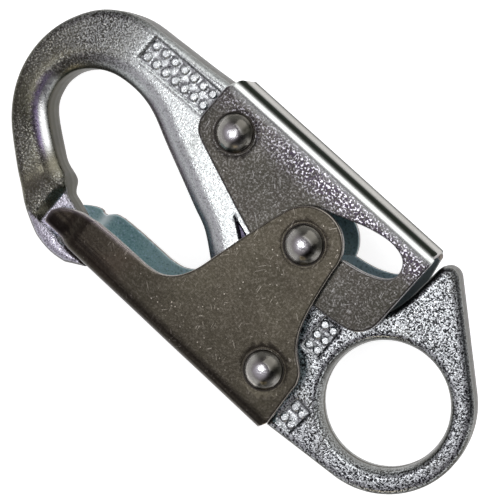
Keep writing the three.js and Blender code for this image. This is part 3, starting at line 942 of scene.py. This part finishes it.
class Finish(Nodes):
    """Builds one node material; every texture runs in object space, in metres."""

    def __init__(self, name, color, metallic=1.0):
        self.material = bpy.data.materials.new(name)
        self.material.use_nodes = True
        super().__init__(self.material.node_tree)
        self.shader = self.tree.nodes["Principled BSDF"]
        self.shader.inputs["Metallic"].default_value = metallic
        self.place = self.node("ShaderNodeTexCoord").outputs["Object"]
        self.color = self.rgb(color)
        self.normal = None

    def noise(self, scale, detail=2.0, roughness=0.5, stretch=(1, 1, 1), turn=0.0, distortion=0.0):
        """Noise with features about 1/scale metres across, as a 0 to 1 value."""
        inputs = {"Scale": scale, "Detail": detail, "Roughness": roughness,
                  "Distortion": distortion, "Vector": self.mapped(stretch, turn)}
        return self.node("ShaderNodeTexNoise", inputs).outputs["Fac"]

    def cells(self, scale):
        inputs = {"Scale": scale, "Vector": self.place}
        return self.node("ShaderNodeTexVoronoi", inputs).outputs["Distance"]

    def mapped(self, stretch, turn):
        """Object space turned about Z by so many degrees, and then stretched."""
        if stretch == (1, 1, 1) and turn == 0:
            return self.place
        spot = self.place
        for name, value in (("Rotation", (0, 0, math.radians(turn))), ("Scale", stretch)):
            spot = self.node("ShaderNodeMapping", {"Vector": spot, name: value}).outputs[0]
        return spot

    def times(self, a, b):
        """The product of two masks, or of a mask and a number."""
        return self.node("ShaderNodeMath", {0: a, 1: b}, operation="MULTIPLY").outputs[0]

    def attribute(self, name):
        return self.node("ShaderNodeAttribute", attribute_name=name).outputs["Fac"]

    def tint(self, mask, color):
        """Mixes another colour over the finish where mask is 1."""
        self.color = self.mix(self.color, color, mask)

    def zone(self, name, strength, color):
        """Tints the zone that a mark on the mesh gives. strength is a number or a mask."""
        self.tint(self.times(self.attribute(name), strength), color)

    def roughen(self, mask, low, high):
        self.link(self.window(mask, 0, 1, low, high), self.shader.inputs["Roughness"])

    def matt(self, mask):
        """Takes the metal's shine off where mask is 1."""
        self.link(self.window(mask, 0, 1, 1, 0), self.shader.inputs["Metallic"])
        self.shader.inputs["Specular IOR Level"].default_value = 0.0

    def bump(self, height, depth, strength=1.0):
        """Relief of the given depth in metres."""
        inputs = {"Height": height, "Distance": depth, "Strength": strength}
        if self.normal is not None:
            inputs["Normal"] = self.normal
        self.normal = self.node("ShaderNodeBump", inputs).outputs["Normal"]

    def done(self):
        self.link(self.color, self.shader.inputs["Base Color"])
        self.link(self.normal, self.shader.inputs["Normal"])
        return self.material


def scratches(finish, turn, scale):
    """A mask of hair-thin, short, straight scratches lying at one angle."""
    lines = finish.noise(scale, 0.0, 0.4, stretch=(0.045, 1, 1), turn=turn)
    patches = finish.noise(380, 1.0, 0.5, turn=turn + 20)
    return finish.times(finish.window(lines, 0.70, 0.72), finish.window(patches, 0.64, 0.68))


def forged_zinc():
    """Coarse zinc over the forged skin: bright along the spine, olive round the bow, with painted
    shade on its slopes, edges and hollows and painted highlights in the throat.
    """
    f = Finish("forging_face", (0.030, 0.031, 0.034))
    grain = f.noise(2800, 1.0, distortion=0.5)
    pits = f.noise(1100)
    # level fades the painted slope shade out in the saddle's dip.
    level = f.window(f.attribute("saddle"), 0.1, 0.6, 1, 0)
    slope_shade = f.times(f.attribute("slope_shade"), level)
    f.tint(f.window(grain, 0.43, 0.57), (0.78, 0.81, 0.83))
    f.zone("spine", f.window(grain, 0.34, 0.50, 0.55, 0.96), (0.93, 0.97, 0.96))
    f.zone("bow", 0.78, (0.095, 0.088, 0.062))
    f.zone("bow", f.window(grain, 0.60, 0.70, 0, 0.8), (0.85, 0.83, 0.70))
    # Painted shade over the middle of the bow, broken by the grain.
    f.zone("lee_shade", f.window(grain, 0.46, 0.64, 1.0, 0.5), (0.030, 0.028, 0.020))
    f.tint(f.window(f.noise(80), 0.52, 0.70, 0, 0.30), (0.20, 0.19, 0.14))
    f.zone("lilac", f.window(grain, 0.34, 0.52, 0.35, 0.9), (0.84, 0.81, 0.93))
    f.zone("sunk", 0.85, (0.90, 0.93, 0.94))
    # Painted shadow along the recesses' edges and round the beads.
    f.zone("groove_shade", f.window(grain, 0.30, 0.62, 1, 0.3), (0.020, 0.020, 0.030))
    # Painted shade on the slopes, olive on the bow.
    f.tint(f.times(slope_shade, 0.86), (0.044, 0.041, 0.034))
    f.zone("bow", f.times(slope_shade, 0.7), (0.100, 0.094, 0.068))
    # Painted shade, tinted purple, on the throat's chamfers.
    f.zone("chamfer_shade", f.window(grain, 0.36, 0.62, 0.25, 0.85), (0.22, 0.165, 0.225))
    # Painted highlight on the ledge beside the throat's channel.
    f.zone("ledge_highlight", 0.6, (0.150, 0.140, 0.108))
    # Painted purple fringe beside the highlight stripe.
    f.zone("highlight_fringe", 0.8, (0.28, 0.17, 0.46))
    # Painted highlight down the throat's inner chamfer.
    f.zone("stripe_highlight", 1.0, (0.96, 0.97, 0.97))
    f.zone("saddle", 0.85, (0.170, 0.158, 0.118))
    # Painted shade in the nick.
    f.zone("nick_shade", 0.92, (0.040, 0.026, 0.075))
    # Painted shade on the rounded outer edges and round the bore.
    f.zone("rim", 0.75, (0.046, 0.046, 0.034))
    # Painted shadow on the rounded flank along the spine side's edge.
    f.zone("brink_shadow", 1.0, (0.012, 0.012, 0.014))
    f.roughen(f.window(pits, 0.3, 0.7), 0.20, 0.34)
    f.bump(grain, 0.00005)
    f.bump(pits, 0.00005, 0.6)
    return f.done()


def forged_side():
    """The trimmed and tumbled side walls of the forging, half matt, with painted shade along the
    spine side.
    """
    f = Finish("forging_side", (0.060, 0.055, 0.039), metallic=0.6)
    f.shader.inputs["Specular IOR Level"].default_value = 0.2
    lines = f.noise(1300, stretch=(1, 1, 0.25))
    f.tint(f.window(lines, 0.35, 0.7, 0, 0.7), (0.090, 0.082, 0.058))
    f.tint(f.window(f.noise(140), 0.5, 0.7, 0, 0.6), (0.042, 0.040, 0.032))
    # Painted shade on the side walls along the spine side.
    f.zone("outer", 0.75, (0.022, 0.019, 0.012))
    f.roughen(lines, 0.32, 0.5)
    f.bump(lines, 0.00004)
    return f.done()


def rolled_sheet(name, color, dark, bright, specks, grain):
    """Plated sheet: soft clouds, fine grain, bright specks and hair scratches."""
    f = Finish(name, color)
    cloud = f.noise(70, 3.0, 0.55)
    fine = f.noise(2300, 2.0, 0.6)
    f.tint(f.window(cloud, 0.35, 0.7), dark)
    f.tint(f.window(fine, 0.50, 0.74, 0, grain), bright)
    f.tint(f.window(fine, 0.46, 0.30, 0, 0.5), tuple(value * 0.5 for value in dark))
    few = f.window(f.noise(260, 2.0, 0.6), 0.42, 0.62)
    f.tint(f.times(f.window(f.cells(780), 0.15, 0.08, 0, specks), few), bright)
    for turn, scale in ((38, 4200), (-52, 3600), (80, 4600)):
        f.tint(f.times(scratches(f, turn, scale), specks * 0.45), bright)
    f.tint(f.window(f.attribute("edge"), 0.35, 0.9, 0, 0.7), bright)
    f.roughen(cloud, 0.20, 0.32)
    f.bump(fine, 0.000010)
    f.bump(cloud, 0.00005, 0.4)
    return f


def gate_outside():
    """Brown-grey plate, darker along its bends and towards its tip, with a painted light rim there.
    """
    f = rolled_sheet("gate_plate_outside", (0.062, 0.055, 0.041), (0.050, 0.044, 0.033),
                     (0.46, 0.42, 0.37), 0.7, 0.14)
    streaks = f.noise(1500, 3.0, 0.6, stretch=(0.012, 1, 1))
    f.zone("tip", 0.35, (0.044, 0.033, 0.027))
    f.zone("tip", f.window(f.noise(60), 0.42, 0.62, 0, 0.4), (0.095, 0.062, 0.048))
    f.zone("belt", f.window(streaks, 0.44, 0.58, 0, 0.8), (0.014, 0.011, 0.011))
    f.zone("belt", f.window(streaks, 0.36, 0.30, 0, 0.5), (0.16, 0.14, 0.11))
    # Painted highlight along the rim towards the tip.
    f.zone("tip", f.window(f.attribute("edge"), 0.12, 0.6, 0, 0.6), (0.40, 0.35, 0.37))
    return f.done()


def lock_outside():
    """Grey plate with a sparkling belt of painted glints along its bends, and a painted highlight
    line and a painted shade line in them.
    """
    f = rolled_sheet("lock_plate_outside", (0.056, 0.052, 0.044), (0.044, 0.041, 0.035),
                     (0.62, 0.60, 0.60), 0.5, 0.22)
    sparkle = f.noise(2100, 1.0, distortion=0.4)
    f.zone("belt", f.window(sparkle, 0.50, 0.38, 0, 0.8), (0.060, 0.044, 0.080))
    # Painted glints in the belt along the bends.
    f.zone("belt", f.window(sparkle, 0.54, 0.66), (0.80, 0.77, 0.86))
    # Painted highlight along the bends.
    f.zone("bright", 0.9, (0.90, 0.93, 0.90))
    f.zone("web", 0.9, (0.190, 0.172, 0.136))
    # Painted shade: a dark matt line where the web turns into the bend.
    f.zone("crease", 0.97, (0.014, 0.018, 0.013))
    f.matt(f.times(f.attribute("crease"), 0.95))
    return f.done()


def sheet_inside(name, color, pale):
    """The sheltered inside of a plate, which keeps its matt blue passivation, with a painted sheen,
    a painted highlight on the joggle and painted shade at the lock's end.
    """
    f = Finish(name, color, metallic=0.15)
    cloud = f.noise(120, 3.0, 0.6)
    fine = f.noise(2100, 1.0, 0.6)
    f.tint(f.window(cloud, 0.38, 0.66), pale)
    # Painted sheen: lighter away from the gate's tip, and all over the lock.
    f.tint(f.window(f.attribute("tip"), 0.0, 0.8, 0.45, 0.0), (0.52, 0.66, 0.67))
    f.tint(f.window(fine, 0.58, 0.70, 0, 0.6), (0.48, 0.60, 0.76))
    f.tint(f.window(fine, 0.44, 0.32, 0, 0.5), (0.060, 0.110, 0.150))
    # Painted highlight across the gate's joggle.
    f.zone("facet", 0.92, (0.95, 0.98, 1.0))
    # Painted shade on the inside near the lock's end.
    f.zone("end", 0.85, (0.050, 0.046, 0.038))
    f.roughen(cloud, 0.30, 0.45)
    f.bump(fine, 0.000012)
    return f.done()


def cut_edge():
    """Sheared edges of the plates, with a few bright burrs."""
    f = Finish("plate_cut_edge", (0.185, 0.160, 0.142))
    lines = f.noise(2200, 2.0, 0.6, stretch=(1, 1, 0.3))
    f.tint(f.window(lines, 0.4, 0.66, 0, 0.75), (0.075, 0.066, 0.060))
    f.tint(f.window(f.noise(900, 2.0, 0.6), 0.58, 0.68, 0, 0.7), (0.62, 0.56, 0.56))
    f.roughen(lines, 0.24, 0.40)
    f.bump(lines, 0.00002)
    return f.done()


def rivet_steel():
    """Polished heads, with painted shade on their flanks and flange and a painted highlight on their
    crowns, the tones that a dark room gives them.
    """
    f = Finish("rivet_polished", (0.45, 0.43, 0.395))
    cloud = f.noise(420, 3.0, 0.6)
    fine = f.noise(2600, 2.0, 0.6)
    f.tint(f.window(cloud, 0.45, 0.72, 0, 0.6), (0.34, 0.32, 0.33))
    f.tint(f.window(fine, 0.6, 0.75, 0, 0.5), (0.80, 0.80, 0.83))
    # Painted shade on the side of the dome that faces the key light.
    f.zone("key_side_shade", 0.85, (0.066, 0.062, 0.050))
    f.zone("shade", f.window(cloud, 0.35, 0.6, 1, 0.7), (0.024, 0.023, 0.018))
    # Painted highlight on the crown.
    f.zone("crown_highlight", f.window(cloud, 0.35, 0.6, 0.5, 0.95), (0.93, 0.92, 0.96))
    # Painted shade on the flange.
    f.zone("flange", 0.8, (0.13, 0.12, 0.10))
    f.roughen(cloud, 0.15, 0.26)
    f.bump(cloud, 0.00010)
    f.bump(fine, 0.00001)
    return f.done()


def turned_steel():
    """The bushes' steel, with fine rings round it and a few warm stains."""
    f = Finish("bush_steel", (0.34, 0.33, 0.31))
    rings = f.noise(3000, stretch=(0.1, 0.1, 1))
    f.tint(f.window(rings, 0.4, 0.65, 0, 0.6), (0.22, 0.21, 0.20))
    f.tint(f.window(f.noise(260), 0.5, 0.7, 0, 0.5), (0.26, 0.23, 0.18))
    f.roughen(rings, 0.25, 0.42)
    f.bump(rings, 0.00002)
    return f.done()


def spring_wire():
    """Drawn wire with bright streaks and a few dark stains."""
    f = Finish("spring_wire", (0.30, 0.31, 0.32))
    drawn = f.noise(2400)
    f.tint(f.window(drawn, 0.4, 0.66, 0, 0.7), (0.48, 0.49, 0.50))
    f.tint(f.window(f.noise(300), 0.52, 0.7, 0, 0.6), (0.18, 0.165, 0.15))
    f.roughen(drawn, 0.2, 0.38)
    f.bump(drawn, 0.00002)
    return f.done()


# ---------------------------------------------------------------- stage
# The camera matches the photograph's perspective: its place, and its right and up directions.
CAMERA_AT = (-7.748, -80.708, 352.580)
CAMERA_RIGHT = (-0.72878, -0.63952, -0.24474)
CAMERA_UP = (0.67008, -0.73964, -0.06261)
CAMERA_LENS, CAMERA_SENSOR = 122.4, 36.0
TOWARD_BOW_WALL = (0.62, 0.55, 0.56)
FLOOR_SIZE = 6.0
# The lights: place from the object's middle, width and height, radiance and colour.
LIGHTS = {"key": ((-0.05, -0.43, 0.36), (0.70, 0.56), 1.5, (1, 1, 1)),
          "top": ((0.075, 0.08, 0.62), (0.20, 0.20), 2.5, (0.99, 1.0, 1.0)),
          "end": ((-0.60, 0.02, 0.12), (0.50, 0.18), 1.3, (1, 1, 1)),
          "warm": ((-0.30, 0.42, 0.20), (0.20, 0.12), 1.2, (1.0, 0.78, 0.40))}


def make_camera():
    data = bpy.data.cameras.new("camera")
    data.lens, data.sensor_width = CAMERA_LENS, CAMERA_SENSOR
    data.clip_start, data.clip_end = 0.01, 50
    camera = bpy.data.objects.new("camera", data)
    bpy.context.scene.collection.objects.link(camera)
    right, up = Vector(CAMERA_RIGHT), Vector(CAMERA_UP)
    turn = Matrix((right, up, right.cross(up))).transposed()
    camera.matrix_world = Matrix.Translation(row(*CAMERA_AT)) @ turn.to_4x4()
    bpy.context.scene.camera = camera


def make_floor():
    mesh = bpy.data.meshes.new("floor")
    z = CAD_BOX[0].z - 0.0002
    corners = [(x * FLOOR_SIZE, y * FLOOR_SIZE, z) for x, y in ((-1, -1), (1, -1), (1, 1), (-1, 1))]
    mesh.from_pydata(corners, [], [(0, 1, 2, 3)])
    floor = bpy.data.objects.new("floor", mesh)
    bpy.context.scene.collection.objects.link(floor)
    material = bpy.data.materials.new("floor_paper")
    material.use_nodes = True
    shader = material.node_tree.nodes["Principled BSDF"]
    for socket, value in (("Base Color", (0.80, 0.80, 0.80, 1)), ("Roughness", 0.9),
                          ("Specular IOR Level", 0.0), ("Emission Color", (1, 1, 1, 1)),
                          ("Emission Strength", 0.80)):
        shader.inputs[socket].default_value = value
    mesh.materials.append(material)


def make_light(name, place, size, radiance, color):
    """A softbox that faces the object's middle."""
    data = bpy.data.lights.new(name, "AREA")
    data.shape = "RECTANGLE"
    data.size, data.size_y = size
    data.energy = radiance * math.pi * size[0] * size[1]
    data.color = color
    light = bpy.data.objects.new(name, data)
    bpy.context.scene.collection.objects.link(light)
    light.location = (CAD_BOX[0] + CAD_BOX[1]) / 2 + Vector(place)
    light.rotation_euler = (-Vector(place)).to_track_quat("-Z", "Y").to_euler()


def make_world():
    """A dim studio: grey overhead beyond the bow, nearly black beyond the eye, pale all round
    at the horizon."""
    world = bpy.data.worlds.new("studio")
    bpy.context.scene.world = world
    world.use_nodes = True
    w = Nodes(world.node_tree)
    toward = w.node("ShaderNodeTexCoord").outputs["Generated"]
    along = w.node("ShaderNodeVectorMath", {0: toward, 1: TOWARD_BOW_WALL},
                   operation="DOT_PRODUCT")
    height = w.node("ShaderNodeSeparateXYZ", {0: toward})
    beyond_bow = w.window(along.outputs["Value"], -0.1, 0.9)
    overhead = w.mix(w.rgb((0.030, 0.028, 0.034)), (0.34, 0.32, 0.35), beyond_bow)
    low_down = w.window(height.outputs["Z"], 0.62, 0.30)
    w.link(w.mix(overhead, (0.62, 0.63, 0.64), low_down),
           w.tree.nodes["Background"].inputs["Color"])


def make_stage():
    make_camera()
    make_floor()
    make_world()
    for name, settings in LIGHTS.items():
        make_light(name, *settings)
    bpy.context.scene.view_settings.view_transform = "Standard"


# ---------------------------------------------------------------- assembly
def fit(piece, body, slot_name, *nodes):
    """Seats a piece: it stands for its CAD nodes and rides on its body."""
    if body is not None:
        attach(piece, body)
    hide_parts(*nodes)


def make_object():
    edge = cut_edge()
    gate_inside = sheet_inside("gate_plate_inside", (0.230, 0.370, 0.385), (0.340, 0.490, 0.495))
    lock_inside = sheet_inside("lock_plate_inside", (0.330, 0.470, 0.550), (0.440, 0.590, 0.650))
    rivet, bush, spring = rivet_steel(), turned_steel(), spring_wire()
    body = make_hook_body(forged_zinc(), forged_side())
    fit(body, "hook_body", "forging", "hook_body")
    fit(make_gate((gate_outside(), gate_inside, edge)), "gate", "gate_plate", "gate")
    fit(make_lock((lock_outside(), lock_inside, edge)), "lock_lever", "lock_plate", "lock_lever")
    for name, centre, shank, half, body_name in (
            ("gate_pivot_rivet", GATE_PIVOT, PIVOT_SHANK, GATE_HALF, "hook_body"),
            ("lock_pivot_rivet", LOCK_PIVOT, PIVOT_SHANK, LOCK_HALF, "hook_body"),
            ("latch_rivet", LATCH, LATCH_SHANK, GATE_HALF, "gate")):
        fit(make_rivet(f"{name}_steel", centre, shank, half, rivet), body_name, "rivet", name)
    for name, centre, half in (("gate_pivot_bush", GATE_PIVOT, GATE_HALF),
                               ("lock_pivot_bush", LOCK_PIVOT, LOCK_HALF)):
        piece = make_bush(f"{name}_steel", centre, half - SHEET - FIT, bush)
        fit(piece, "hook_body", "bush", name)
    for piece in make_gate_springs(spring):
        fit(piece, None, "spring_wire", "gate_spring")
    fit(make_lock_spring(spring), None, "spring_wire", "lock_spring")


make_stage()
make_object()
